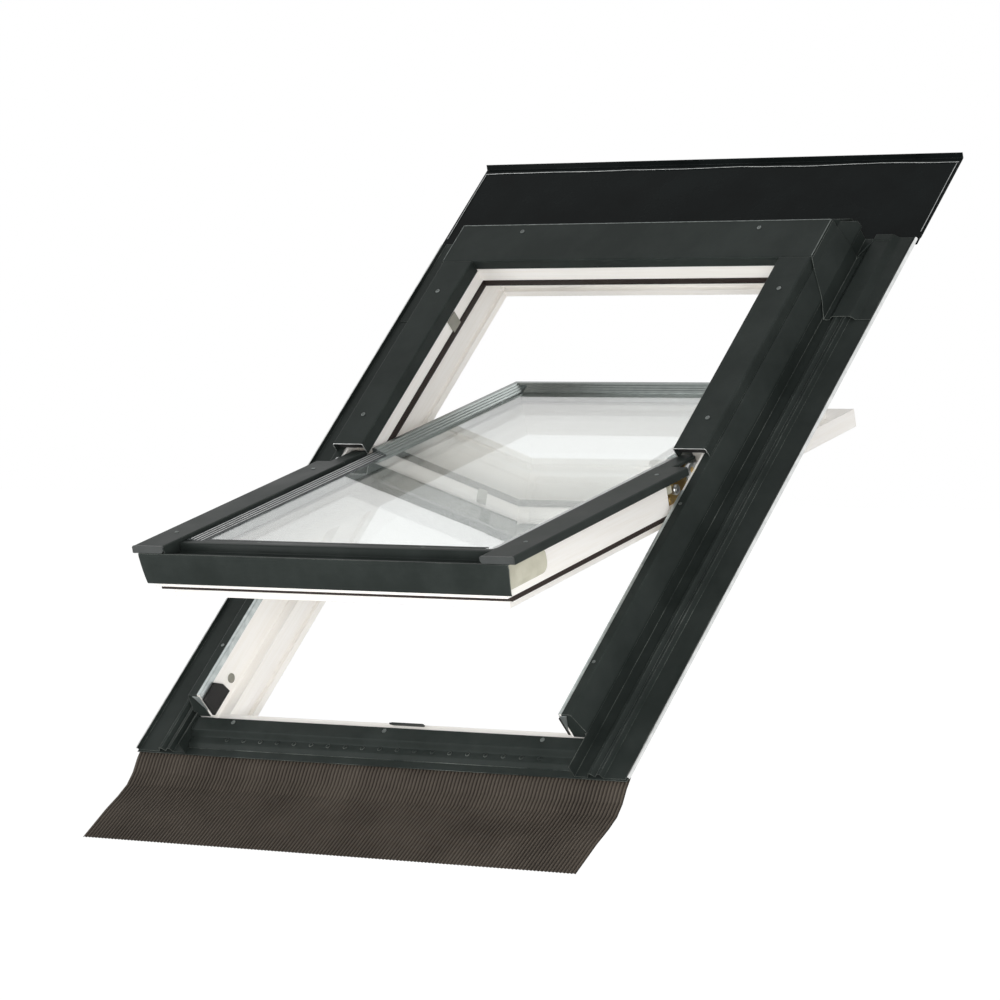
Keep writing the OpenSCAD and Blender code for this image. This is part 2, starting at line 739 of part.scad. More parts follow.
module bottom_trim() {
    top = glass_z + bead_h;
    outline = bent([[glass_bottom_y + 14, glass_z], [glass_bottom_y + 14, glass_z + 1.5], [glass_bottom_y, glass_z + 3],
        [rail_upstand_y - 14, top - 1], [flange_bottom_y + 8, top], [flange_bottom_y - 2, top - 4],
        [flange_bottom_y - 2, upstand_z]], 1.5);
    color(metal_dark) opened() difference() {
        run_x(concat(outline, [[rail_upstand_y, upstand_z], [rail_upstand_y, glass_z]]), [-bead_x, bead_x]);
        for (s = [-1, 1])
            side(s) block([bead_x - bead_w - upstand_w, bead_x + 1], [glass_bottom_y, glass_bottom_y + 2 * bead_w],
                [upstand_z - 1, cover_top]);
    }
}

// Covers on the sash

module side_cover(s) {
    wide = bent([[cover_in_x, upstand_z], [cover_in_x, sash_cover_z],
        [cover_out_x - 2.5, sash_cover_z], [cover_out_x - 1.5, cladding_z + 2]], bend_r);
    tail_x = [cover_in_x + 3.5, flange_x - 2];
    tail = bent([[tail_x[0], upstand_z], [tail_x[0], sash_cover_z], [tail_x[1], sash_cover_z],
        [tail_x[1], sash_cover_z - 5.5]], bend_r);
    color(metal_dark) opened() side(s) {
        run_y(sheet(wide, sheet_t), [sash_end_y, wide_y]);
        run_y(sheet(tail, sheet_t), [wide_y - 4, split_y + 2]);
    }
}

module fascia() {
    top = sash_cover_z - cap_h - 0.5;
    out_x = cover_out_x - 12;
    ledge = 4;
    neck = 9;
    drop = 41;
    lean = 3.5;
    steps = 4;
    cut = 6;
    low_z = top - neck - drop - 2;
    path = concat([[sash_end_y, top], [sash_end_y - ledge, top], [sash_end_y - ledge, top - 5.5]],
        [for (k = [0:steps]) let (t = k / steps)
            [sash_end_y - 2.2 + lean * t * t - 1.3, top - neck - drop * t]],
        [[sash_end_y - 2.2 + lean, low_z]]);
    color(metal_dark) opened() intersection() {
        run_x(sheet(turned(path), sheet_t), [-out_x, out_x]);
        translate([0, sash_end_y + 10, 0]) rotate([90, 0, 0]) linear_extrude(40)
            polygon([[-out_x, top + 1], [out_x, top + 1], [out_x, top - neck], [out_x - cut, low_z - 1],
                [cut - out_x, low_z - 1], [-out_x, top - neck]]);
    }
}

module end_cap(s) {
    plug_z = [sash_cover_z - 7, sash_cover_z - sheet_t];
    nose = 4;
    x = [cover_in_x - 1, cover_out_x - 1];
    face = [[x[0], sash_cover_z - cap_h + nose], [x[0] + nose, sash_cover_z - cap_h], [x[1], sash_cover_z - cap_h],
        [x[1], sash_cover_z - 2], [x[1] - 2, sash_cover_z], [x[0] + 2, sash_cover_z], [x[0], sash_cover_z - 2]];
    color("#2c302f") opened() side(s) {
        block([cover_in_x + sheet_t + 2, cover_out_x - 8], [sash_end_y, sash_end_y + 14], plug_z);
        run_y(face, [sash_end_y - 3.5, sash_end_y]);
    }
}

module corner_block(s) {
    block_t = 3.5;
    x = [flange_x, flange_x + block_t];
    color("#c8c6b6") opened() side(s) hull() {
        block(x, [flange_bottom_y, flange_bottom_y + 70], [flange_z + 12, upstand_z + 6]);
        translate([x[0], flange_bottom_y + 82, flange_z + 30]) rotate([0, 90, 0])
            cylinder(r = 12, h = block_t, $fn = 32);
    }
}

module pivot_plate(s) {
    color("goldenrod") opened() side(s) difference() {
        union() {
            block([core_x, core_x + hinge_t], [pivot_y - 56, pivot_y + 34], [pivot_z - 48, pivot_z - 11]);
            hull() {
                translate([core_x, pivot_y, pivot_z]) rotate([0, 90, 0])
                    cylinder(r = boss_r, h = hinge_t, $fn = 32);
                block([core_x, core_x + hinge_t], [pivot_y - 26, pivot_y + 26], [pivot_z - 13, pivot_z - 11]);
            }
            translate([core_x, pivot_y, pivot_z]) rotate([0, 90, 0])
                cylinder(r = boss_r - 2.5, h = flange_x - core_x);
        }
        translate([core_x - 1, pivot_y, pivot_z]) rotate([0, 90, 0])
            cylinder(r = pin_r + pin_clear, h = sash_gap + flange_x - core_x);
    }
}

// Handle and latch

module handle_rose() {
    color("silver") opened() translate([0, handle_y, sash_in - rose_t]) difference() {
        cylinder(r = 16, h = rose_t);
        translate([0, 0, -1]) cylinder(r = spindle_r + latch_clear, h = rose_t + 2);
    }
}

module handle() {
    neck = 28;
    grip_r = 8;
    z = sash_in - rose_t - neck;
    color("silver") opened() translate([0, handle_y, 0]) {
        translate([0, 0, z]) cylinder(r = spindle_r, h = latch_z[0] - 1 - z);
        translate([0, 0, z]) cylinder(r = 9, h = neck - 0.5);
        hull() {
            translate([0, 0, z]) sphere(r = grip_r + 1, $fn = 32);
            translate([0, -lever_l, z - 6]) sphere(r = grip_r, $fn = 32);
        }
    }
}

module latch_bolt() {
    w = latch_w / 2;
    outline = [[latch_y - 4, latch_z[0]], [latch_y - latch_l, latch_z[0]], [latch_y - latch_l, latch_z[1]],
        [latch_y, latch_z[1]], [latch_y, latch_z[0] + 4]];
    color("silver") opened() run_x(outline, [-w, w]);
}

frame_head();
frame_sill();
frame_jamb(-1);  // frame_jamb_left
frame_jamb(1);  // frame_jamb_right
frame_gasket();
jamb_cladding(-1);  // jamb_cladding_left
jamb_cladding(1);  // jamb_cladding_right
sill_cladding();
head_cover();
upper_cover(-1);  // upper_cover_left
upper_cover(1);  // upper_cover_right
head_flashing();
flashing_corner(-1);  // flashing_corner_left
flashing_corner(1);  // flashing_corner_right
side_flashing(-1);  // side_flashing_left
side_flashing(1);  // side_flashing_right
sill_flashing();
apron();
flashing_rivets();
cover_screws();
pivot_bracket(-1);  // pivot_bracket_left
pivot_bracket(1);  // pivot_bracket_right
pivot_pin(-1);  // pivot_pin_left
pivot_pin(1);  // pivot_pin_right
latch_keep();
jamb_plugs();
corner_seals();
jamb_catches();
mounting_bracket(-1, bracket_y);  // mounting_bracket_upper_left
mounting_bracket(1, bracket_y);  // mounting_bracket_upper_right
mounting_bracket(-1, -bracket_y);  // mounting_bracket_lower_left
mounting_bracket(1, -bracket_y);  // mounting_bracket_lower_right
sash_stile(-1);  // sash_stile_left
sash_stile(1);  // sash_stile_right
sash_top_rail();
sash_bottom_rail();
outer_pane();
inner_pane();
pane_spacer();
glazing_tape();
sash_gasket();
upper_bead(-1);  // upper_bead_left
upper_bead(1);  // upper_bead_right
top_bead();
lower_bead(-1);  // lower_bead_left
lower_bead(1);  // lower_bead_right
bottom_trim();
side_cover(-1);  // side_cover_left
side_cover(1);  // side_cover_right
fascia();
end_cap(-1);  // end_cap_left
end_cap(1);  // end_cap_right
corner_block(-1);  // corner_block_left
corner_block(1);  // corner_block_right
pivot_plate(-1);  // pivot_plate_left
pivot_plate(1);  // pivot_plate_right
handle_rose();
handle();
latch_bolt();
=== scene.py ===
import bmesh
import bpy
import math
from mathutils import Matrix, Vector


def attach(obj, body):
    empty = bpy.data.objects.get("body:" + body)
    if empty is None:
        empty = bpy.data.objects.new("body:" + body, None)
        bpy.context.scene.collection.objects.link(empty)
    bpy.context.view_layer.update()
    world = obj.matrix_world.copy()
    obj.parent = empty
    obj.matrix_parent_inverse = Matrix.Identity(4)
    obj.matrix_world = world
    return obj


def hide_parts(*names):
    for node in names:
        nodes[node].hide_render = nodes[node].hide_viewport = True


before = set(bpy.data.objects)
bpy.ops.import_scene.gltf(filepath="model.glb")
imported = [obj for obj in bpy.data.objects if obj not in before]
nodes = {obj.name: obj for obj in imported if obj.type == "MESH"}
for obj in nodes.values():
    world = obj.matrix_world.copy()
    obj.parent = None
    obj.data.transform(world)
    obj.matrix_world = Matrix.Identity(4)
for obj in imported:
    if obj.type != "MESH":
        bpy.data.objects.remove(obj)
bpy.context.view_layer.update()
mm = 0.001
hands = (("left", -1), ("right", 1))  # each side's name and its sign of x
print("frame loaded:", len(nodes), "nodes")


def placeAt(x, y, z):
    return Matrix.Translation((x * mm, y * mm, z * mm))


# Placing in the window's own plane: x across, y up the slope, z outward
setting = {"pitch": 45.0, "opened": 30.0, "pivot": (-18.0, 71.0)}
pitchTurn = Matrix.Rotation(math.radians(setting["pitch"]), 4, "X")
pivotPlace = placeAt(0, *setting["pivot"])
openTurn = Matrix.Rotation(math.radians(-setting["opened"]), 4, "X")
sashTurn = pitchTurn @ pivotPlace @ openTurn @ pivotPlace.inverted()
quarterTurn = Matrix.Rotation(math.pi / 2, 4, "Z")  # between across and up the slope


# Materials

def linear(hexCode):
    channels = [int(hexCode[i:i + 2], 16) / 255 for i in (0, 2, 4)]
    return [c / 12.92 if c <= 0.04045 else ((c + 0.055) / 1.055) ** 2.4 for c in channels] + [1.0]


# Links a socket to each named input, or sets its number or colour
def setInputs(tree, node, inputs):
    for name, value in inputs.items():
        if isinstance(value, bpy.types.NodeSocket):
            tree.links.new(value, node.inputs[name])
        else:
            node.inputs[name].default_value = value


# Adds a node with its inputs, a ramp's colour stops and its other settings
def addNode(tree, kind, inputs=None, stops=(), **props):
    node = tree.nodes.new(kind)
    for name, value in props.items():
        setattr(node, name, value)
    setInputs(tree, node, inputs or {})
    if stops:
        ramp = node.color_ramp.elements
        for place, hexCode in stops[1:-1]:
            ramp.new(place)
        for element, (place, hexCode) in zip(ramp, stops):
            element.position = place
            element.color = linear(hexCode)
    return node


def newMaterial(name):
    material = bpy.data.materials.new(name)
    material.use_nodes = True
    tree = material.node_tree
    where = addNode(tree, "ShaderNodeTexCoord").outputs["Object"]
    return material, tree, tree.nodes["Principled BSDF"], where


def dress(material, *names):
    for name in names:
        slots = nodes[name].data.materials
        if len(slots) == 0:
            slots.append(material)
        for i in range(len(slots)):
            slots[i] = material


def perMm(size):
    return 1 / (size * mm)  # texture scale for a pattern of this size in millimetres


paint = {"shade": (0.35, "F9F5EF"), "white": (0.6, "FDFAF6"), "grain": 5, "along": 0.04, "raised": 0.15,
         "rough": 0.42, "edge": 1.2}


# Pine under white opaque paint: satin, faint grain lines along each piece, softened edges
def paintedPine(name, turn, lengthwise):
    material, tree, shader, where = newMaterial(name)
    stretch = [1, 1, 1]
    stretch[lengthwise] = paint["along"]
    place = addNode(tree, "ShaderNodeMapping", {"Vector": where, "Rotation": (turn, 0, 0)})
    drawn = addNode(tree, "ShaderNodeMapping", {"Vector": place.outputs[0], "Scale": stretch})
    grain = addNode(tree, "ShaderNodeTexNoise", {"Vector": drawn.outputs[0], "Scale": perMm(paint["grain"]),
                                                 "Detail": 4, "Roughness": 0.6})
    tone = addNode(tree, "ShaderNodeValToRGB", {"Fac": grain.outputs["Fac"]},
                   (paint["shade"], paint["white"]))
    edge = addNode(tree, "ShaderNodeBevel", {"Radius": paint["edge"] * mm}, samples=4)
    bump = addNode(tree, "ShaderNodeBump", {"Height": grain.outputs["Fac"], "Strength": 0.25,
                                            "Distance": paint["raised"] * mm, "Normal": edge.outputs[0]})
    setInputs(tree, shader, {"Base Color": tone.outputs[0], "Normal": bump.outputs[0],
                             "Roughness": paint["rough"]})
    return material


coat = {"grain": 1.4, "raised": 0.1, "mottle": 120, "dent": 160, "hollow": 2, "edge": 1.8}


# Powder-coated aluminium sheet: fine orange peel, soft sheen, dusty patches, and a painted highlight that makes
# its bends and edges paler
def coatedSheet(name, dark, light, bendHighlightColour, rough, gloss, peel=0.12, sway=0.4):
    material, tree, shader, where = newMaterial(name)
    patch = addNode(tree, "ShaderNodeTexNoise", {"Vector": where, "Scale": perMm(coat["mottle"]),
                                                 "Detail": 5, "Roughness": 0.62})
    edge = addNode(tree, "ShaderNodeBevel", {"Radius": coat["edge"] * mm}, samples=6)
    flat = addNode(tree, "ShaderNodeNewGeometry")
    square = addNode(tree, "ShaderNodeVectorMath", {0: edge.outputs[0], 1: flat.outputs["Normal"]},
                     operation="DOT_PRODUCT")
    # Painted highlight: at bends and edges, where the bevel normal turns away from the flat face, the colour
    # moves towards the paler third colour
    paintedBendHighlight = addNode(tree, "ShaderNodeMapRange", {"Value": square.outputs["Value"], "From Min": 0.99,
                                               "From Max": 0.8, "To Min": 0.0, "To Max": 0.5})
    dust = addNode(tree, "ShaderNodeMapRange", {"Value": patch.outputs["Fac"], "From Min": 0.38,
                                                "From Max": 0.68, "To Min": 0.0, "To Max": 0.5})
    shade = addNode(tree, "ShaderNodeMath", {0: dust.outputs[0], 1: paintedBendHighlight.outputs[0]}, operation="ADD")
    tone = addNode(tree, "ShaderNodeValToRGB", {"Fac": shade.outputs[0]},
                   ((0.0, dark), (0.5, light), (1.0, bendHighlightColour)))
    sheen = addNode(tree, "ShaderNodeMapRange", {"Value": patch.outputs["Fac"], "From Min": 0.35,
                                                 "From Max": 0.7, "To Min": rough - 0.05,
                                                 "To Max": rough + 0.08})
    dent = addNode(tree, "ShaderNodeTexNoise", {"Vector": where, "Scale": perMm(coat["dent"]), "Detail": 1})
    hollow = addNode(tree, "ShaderNodeBump", {"Height": dent.outputs["Fac"], "Strength": sway,
                                              "Distance": coat["hollow"] * mm, "Normal": edge.outputs[0]})
    grit = addNode(tree, "ShaderNodeTexNoise", {"Vector": where, "Scale": perMm(coat["grain"]), "Detail": 2})
    bump = addNode(tree, "ShaderNodeBump", {"Height": grit.outputs["Fac"], "Strength": peel,
                                            "Distance": coat["raised"] * mm, "Normal": hollow.outputs[0]})
    setInputs(tree, shader, {"Base Color": tone.outputs[0], "Roughness": sheen.outputs[0],
                             "Normal": bump.outputs[0], "Specular IOR Level": gloss})
    return material


pleat = {"rough": 0.5, "gloss": 0.12, "mottle": 90, "grain": 1.4, "raised": 0.1}


# Pleated soft sheet: painted shade in each groove and a painted highlight on each crest, with patches of random
# tone
def pleatedSheet(name, grooveShade, crestLight):
    material, tree, shader, where = newMaterial(name)
    across = sorted({round(point.co.x, 5) for point in nodes["apron"].data.vertices})
    pitch = 2 * (across[-1] - across[0]) / (len(across) - 1)
    start = addNode(tree, "ShaderNodeMapping", {"Vector": where, "Location": (-across[0], 0, 0)})
    fold = addNode(tree, "ShaderNodeTexWave",  # it turns 20 radians in a unit, so one wave to a pleat
                   {"Vector": start.outputs[0], "Scale": math.pi / (10 * pitch)},
                   wave_type="BANDS", bands_direction="X", wave_profile="TRI")
    patch = addNode(tree, "ShaderNodeTexNoise", {"Vector": where, "Scale": perMm(pleat["mottle"]),
                                                 "Detail": 5})
    stain = addNode(tree, "ShaderNodeMapRange", {"Value": patch.outputs["Fac"], "From Min": 0.3,
                                                 "From Max": 0.7, "To Min": -0.15, "To Max": 0.15})
    # Painted light and shade: the wave runs dark in each groove and pale on each crest
    shade = addNode(tree, "ShaderNodeMath", {0: fold.outputs["Fac"], 1: stain.outputs[0]}, operation="ADD")
    tone = addNode(tree, "ShaderNodeValToRGB", {"Fac": shade.outputs[0]}, ((0.0, grooveShade), (1.0, crestLight)))
    grit = addNode(tree, "ShaderNodeTexNoise", {"Vector": where, "Scale": perMm(pleat["grain"]),
                                                "Detail": 2})
    bump = addNode(tree, "ShaderNodeBump", {"Height": grit.outputs["Fac"], "Strength": 0.2,
                                            "Distance": pleat["raised"] * mm})
    setInputs(tree, shader, {"Base Color": tone.outputs[0], "Normal": bump.outputs[0],
                             "Roughness": pleat["rough"], "Specular IOR Level": pleat["gloss"]})
    return material


rubber = {"drag": 3, "raised": 0.2, "rough": 0.75}


# Extruded EPDM: dull, faint drag lines, almost no highlight
def rubberSeal(name, dark, light):
    material, tree, shader, where = newMaterial(name)
    drag = addNode(tree, "ShaderNodeTexNoise", {"Vector": where, "Scale": perMm(rubber["drag"]),
                                                "Detail": 3})
    tone = addNode(tree, "ShaderNodeValToRGB", {"Fac": drag.outputs["Fac"]}, ((0.0, dark), (1.0, light)))
    bump = addNode(tree, "ShaderNodeBump", {"Height": drag.outputs["Fac"], "Strength": 0.3,
                                            "Distance": rubber["raised"] * mm})
    setInputs(tree, shader, {"Base Color": tone.outputs[0], "Normal": bump.outputs[0],
                             "Roughness": rubber["rough"]})
    return material


pane = {"tint": "FBFDFC", "wave": 260, "raised": 1, "bend": 1.5}


# Float glass: clear, faintly green, with the slight waviness of a sealed unit
def floatGlass(name):
    material, tree, shader, where = newMaterial(name)
    wave = addNode(tree, "ShaderNodeTexNoise", {"Vector": where, "Scale": perMm(pane["wave"]), "Detail": 1})
    bump = addNode(tree, "ShaderNodeBump", {"Height": wave.outputs["Fac"], "Strength": 0.05,
                                            "Distance": pane["raised"] * mm})
    setInputs(tree, shader, {"Normal": bump.outputs[0], "Base Color": linear(pane["tint"]),
                             "Roughness": 0.0, "IOR": pane["bend"], "Transmission Weight": 1.0})
    return material


metal = {"line": 1.5, "along": (0.05, 1, 1), "raised": 0.05, "tarnish": 14, "edge": 0.6}


# Rolled, plated or anodised metal: fine lines along one way and a little tarnish
def workedMetal(name, dark, light, rough):
    material, tree, shader, where = newMaterial(name)
    drawn = addNode(tree, "ShaderNodeMapping", {"Vector": where, "Scale": metal["along"]})
    line = addNode(tree, "ShaderNodeTexNoise", {"Vector": drawn.outputs[0], "Scale": perMm(metal["line"]),
                                                "Detail": 3})
    cloud = addNode(tree, "ShaderNodeTexNoise", {"Vector": where, "Scale": perMm(metal["tarnish"]),
                                                 "Detail": 4})
    tone = addNode(tree, "ShaderNodeValToRGB", {"Fac": cloud.outputs["Fac"]}, ((0.35, dark), (0.65, light)))
    polish = addNode(tree, "ShaderNodeMapRange", {"Value": line.outputs["Fac"], "To Min": rough - 0.08,
                                                  "To Max": rough + 0.12})
    edge = addNode(tree, "ShaderNodeBevel", {"Radius": metal["edge"] * mm}, samples=4)
    bump = addNode(tree, "ShaderNodeBump", {"Height": line.outputs["Fac"], "Strength": 0.15,
                                            "Distance": metal["raised"] * mm, "Normal": edge.outputs[0]})
    setInputs(tree, shader, {"Base Color": tone.outputs[0], "Roughness": polish.outputs[0],
                             "Normal": bump.outputs[0], "Metallic": 1.0})
    return material


plastic = {"spark": 1.2, "raised": 0.08, "tint": 25, "edge": 1.2}


# Injection-moulded plastic: spark-eroded texture, soft edges
def mouldedPlastic(name, dark, light, rough):
    material, tree, shader, where = newMaterial(name)
    spark = addNode(tree, "ShaderNodeTexNoise", {"Vector": where, "Scale": perMm(plastic["spark"]),
                                                 "Detail": 2})
    tint = addNode(tree, "ShaderNodeTexNoise", {"Vector": where, "Scale": perMm(plastic["tint"]),
                                                "Detail": 3})
    tone = addNode(tree, "ShaderNodeValToRGB", {"Fac": tint.outputs["Fac"]}, ((0.3, dark), (0.7, light)))
    edge = addNode(tree, "ShaderNodeBevel", {"Radius": plastic["edge"] * mm}, samples=4)
    bump = addNode(tree, "ShaderNodeBump", {"Height": spark.outputs["Fac"], "Strength": 0.2,
                                            "Distance": plastic["raised"] * mm, "Normal": edge.outputs[0]})
    setInputs(tree, shader, {"Base Color": tone.outputs[0], "Normal": bump.outputs[0], "Roughness": rough})
    return material


pitchAngle = -math.radians(setting["pitch"])
sashAngle = -math.radians(setting["pitch"] - setting["opened"])
pineAcross = paintedPine("painted_pine_across", 0.0, 0)
pineFrame = paintedPine("painted_pine_jamb", pitchAngle, 1)
pineSash = paintedPine("painted_pine_stile", sashAngle, 1)
# The third colour of each coated sheet is the painted highlight along its bends and edges
cladding = coatedSheet("powder_coated_aluminium", "252A28", "303533", "90958F", rough=0.4, gloss=0.07)
glossCladding = coatedSheet("gloss_coated_bead", "1A2022", "242B2D", "B4BABA", rough=0.2, gloss=0.5, peel=0.04)
flashingBlack = coatedSheet("gloss_coated_flashing", "0B0F0F", "111616", "5A5E5D", rough=0.24, gloss=0.04,
                            peel=0.06, sway=0.7)
# The apron's two colours are the painted shade of its grooves and the painted highlight of its crests
apronSheet = pleatedSheet("pleated_coated_sheet", "1E1915", "575048")
brownSeal = rubberSeal("brown_gasket_rubber", "180D07", "24150C")
blackSeal = rubberSeal("black_rubber", "131211", "1E1C1B")
glass = floatGlass("clear_float_glass")
anodised = workedMetal("anodised_aluminium_bead", "848A88", "8C9290", rough=0.34)
yellowZinc = workedMetal("yellow_passivated_zinc", "A98A4C", "CDB27A", rough=0.3)
brightZinc = workedMetal("bright_zinc_plate", "A3A6A6", "C4C7C7", rough=0.32)
bareAluminium = workedMetal("bare_aluminium_edge", "D2D4D3", "E6E7E6", rough=0.38)
paleLip = workedMetal("mill_finish_lip", "B9C1C1", "D3D9D8", rough=0.45)
satin = workedMetal("satin_anodised_handle", "A6A7A6", "BDBEBD", rough=0.3)
fixing = workedMetal("coated_fixings", "6B706E", "858A88", rough=0.38)
# Pale metals for the painted highlight lines along the folds of the cover and the flashing
foldHighlight = workedMetal("painted_highlight_cover_fold", "5E6361", "7A7F7D", rough=0.4)
creaseHighlight = workedMetal("painted_highlight_flashing_crease", "8C8F8E", "B4B6B5", rough=0.36)
cream = mouldedPlastic("cream_moulded_nylon", "BEBBA8", "CFCCBB", rough=0.5)
greyPlastic = mouldedPlastic("grey_moulded_plastic", "848278", "959388", rough=0.5)
darkPlastic = mouldedPlastic("dark_moulded_cap", "282C2B", "323635", rough=0.45)

dress(pineAcross, "frame_head", "frame_sill", "sash_top_rail", "sash_bottom_rail")
dress(cladding, "sill_cladding", "head_cover", "sill_flashing", "bottom_trim", "fascia")
for hand, k in hands:
    dress(pineFrame, "frame_jamb_" + hand)
    dress(pineSash, "sash_stile_" + hand)
    dress(cladding, "jamb_cladding_" + hand, "upper_cover_" + hand, "flashing_corner_" + hand,
          "side_flashing_" + hand, "side_cover_" + hand)
    dress(glossCladding, "lower_bead_" + hand)
    dress(anodised, "upper_bead_" + hand)
    dress(darkPlastic, "end_cap_" + hand)
    dress(cream, "corner_block_" + hand)
    dress(yellowZinc, "pivot_plate_" + hand, "pivot_pin_" + hand)
    dress(brightZinc, "pivot_bracket_" + hand, "mounting_bracket_upper_" + hand,
          "mounting_bracket_lower_" + hand)
dress(flashingBlack, "head_flashing")
dress(apronSheet, "apron")
dress(brownSeal, "frame_gasket", "sash_gasket", "glazing_tape")
dress(blackSeal, "corner_seals")
dress(glass, "outer_pane", "inner_pane")
dress(anodised, "top_bead", "pane_spacer")
dress(brightZinc, "latch_keep", "latch_bolt")
dress(satin, "handle", "handle_rose")
dress(greyPlastic, "jamb_plugs", "jamb_catches")
dress(fixing, "cover_screws", "flashing_rivets")
print("materials dressed")


# Modelling helpers

def freeSelection():
    if bpy.context.mode != "OBJECT":
        bpy.ops.object.mode_set(mode="OBJECT")
    bpy.ops.object.select_all(action="DESELECT")


# In edit mode: selects the faces, edges or points that pass the test
def pick(kind, test):
    bpy.ops.mesh.select_mode(type=kind)
    bpy.ops.mesh.select_all(action="DESELECT")
    shape = bmesh.from_edit_mesh(bpy.context.object.data)
    for item in {"VERT": shape.verts, "EDGE": shape.edges, "FACE": shape.faces}[kind]:
        item.select_set(bool(test(item)))
    bmesh.update_edit_mesh(bpy.context.object.data)


# Insets the picked faces and moves them, in millimetres
def insetMove(rim, move):
    bpy.ops.mesh.inset(thickness=rim * mm)
    bpy.ops.transform.translate(value=Vector(move) * mm)


# Cube between two corners in millimetres, left in edit mode with all of it selected
def blockBetween(near, far):
    freeSelection()
    bpy.ops.mesh.primitive_cube_add(size=1)
    block = bpy.context.object
    bpy.ops.object.mode_set(mode="EDIT")
    bpy.ops.transform.resize(value=[abs(b - a) * mm for a, b in zip(near, far)])
    bpy.ops.transform.translate(value=[(a + b) / 2 * mm for a, b in zip(near, far)])
    return block


def bakePlace():
    bpy.ops.object.mode_set(mode="OBJECT")
    bpy.ops.object.transform_apply(location=True, rotation=True, scale=True)


def applied(piece, kind, **settings):
    modifier = piece.modifiers.new(kind.lower(), kind)
    for name, value in settings.items():
        setattr(modifier, name, value)
    bpy.ops.object.modifier_apply(modifier=modifier.name)


def smoothUnder(degrees):
    bpy.ops.object.shade_smooth_by_angle(angle=math.radians(degrees))


# Places a finished model, names it, gives it its finish and lets it ride on its body
def settle(piece, name, turn, material, body):
    piece.data.transform(turn)
    piece.name = name
    piece.data.name = name
    piece.data.materials.clear()
    piece.data.materials.append(material)
    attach(piece, body)


# Joins the models into the first of them
def joined(models):
    freeSelection()
    for model in models:
        model.select_set(True)
    bpy.context.view_layer.objects.active = models[0]
    if len(models) > 1:
        bpy.ops.object.join()
    return models[0]


# Own-mesh copies of a model at each place, joined into one piece
def standCopies(model, places):
    copies = []
    for place in places:
        copy = model.copy()
        copy.data = model.data.copy()
        copy.data.transform(place)
        bpy.context.collection.objects.link(copy)
        copies.append(copy)
    bpy.data.objects.remove(model)
    return joined(copies)


# Loose parts of a CAD node: lowest and highest corners in the flat plane
def looseParts(name, turn):
    shape = bmesh.new()
    shape.from_mesh(nodes[name].data)
    bmesh.ops.remove_doubles(shape, verts=shape.verts, dist=0.001 * mm)
    shape.transform(turn.inverted())
    waiting = set(shape.verts)
    parts = []
    while waiting:
        reach = [waiting.pop()]
        corners = []
        while reach:
            point = reach.pop()
            corners.append(point.co.copy())
            for edge in point.link_edges:
                other = edge.other_vert(point)
                if other in waiting:
                    waiting.remove(other)
                    reach.append(other)
        parts.append((Vector(map(min, zip(*corners))), Vector(map(max, zip(*corners)))))
    shape.free()
    return sorted(parts, key=lambda part: tuple(part[0]))


# Fasteners

# Shares of the head's radius and height
screwHead = {"sides": 20, "base": 0.55, "inset": 0.21, "lifts": (0.28, 0.17), "arm": 0.62, "slot": 0.15,
             "sink": 0.55, "smooth": 40}


# Pan head with a cross recess, standing on z = 0
def crossScrew(radius, height):
    freeSelection()
    arm, slot = screwHead["arm"] * radius, screwHead["slot"] * radius
    bpy.ops.mesh.primitive_cube_add(size=2 * slot, location=(0, 0, height))
    cutter = bpy.context.object
    bpy.ops.object.mode_set(mode="EDIT")
    bpy.ops.transform.resize(value=(1, 1, screwHead["sink"] * height / slot))
    pick("FACE", lambda f: abs(f.normal.z) < 0.5)
    bpy.ops.mesh.extrude_faces_move(TRANSFORM_OT_shrink_fatten={"value": arm - slot})
    bakePlace()
    freeSelection()
    base = screwHead["base"] * height
    bpy.ops.mesh.primitive_cylinder_add(vertices=screwHead["sides"], radius=radius, depth=base,
                                        location=(0, 0, base / 2))
    head = bpy.context.object
    bpy.ops.object.mode_set(mode="EDIT")
    pick("FACE", lambda f: f.normal.z > 0.9)
    for lift in screwHead["lifts"]:
        bpy.ops.mesh.inset(thickness=radius * screwHead["inset"])
        bpy.ops.transform.translate(value=(0, 0, height * lift))
    bakePlace()
    applied(head, "BOOLEAN", object=cutter, operation="DIFFERENCE", solver="EXACT")
    smoothUnder(screwHead["smooth"])
    bpy.data.objects.remove(cutter)
    return head


# Shares of the rivet's radius and height; it is drawn larger than its CAD disc by swell
rivet = {"sides": 16, "rings": 8, "crown": 0.8, "flat": 0.62, "swell": 1.8, "smooth": 40}


# Domed rivet with a thin rim, standing on z = 0
def domedRivet(radius, height):
    freeSelection()
    radius, height = radius * rivet["swell"], height * rivet["swell"]
    crown, rim = radius * rivet["crown"], height * (1 - rivet["flat"])
    bpy.ops.mesh.primitive_uv_sphere_add(segments=rivet["sides"], ring_count=rivet["rings"], radius=crown)
    dome = bpy.context.object
    bpy.ops.object.mode_set(mode="EDIT")
    bpy.ops.mesh.select_all(action="SELECT")
    bpy.ops.mesh.bisect(plane_co=(0, 0, 0), plane_no=(0, 0, 1), clear_inner=True)
    bpy.ops.mesh.select_all(action="SELECT")
    bpy.ops.transform.resize(value=(1, 1, height * rivet["flat"] / crown), center_override=(0, 0, 0))
    bpy.ops.transform.translate(value=(0, 0, rim))
    pick("EDGE", lambda e: e.is_boundary)
    bpy.ops.mesh.extrude_region_move()
    bpy.ops.transform.resize(value=(1 / rivet["crown"], 1 / rivet["crown"], 1))
    bpy.ops.mesh.extrude_region_move(TRANSFORM_OT_translate={"value": (0, 0, -rim)})
    bpy.ops.mesh.edge_face_add()
    bpy.ops.mesh.select_all(action="SELECT")
    bpy.ops.mesh.normals_make_consistent(inside=False)
    bakePlace()
    smoothUnder(rivet["smooth"])
    return dome


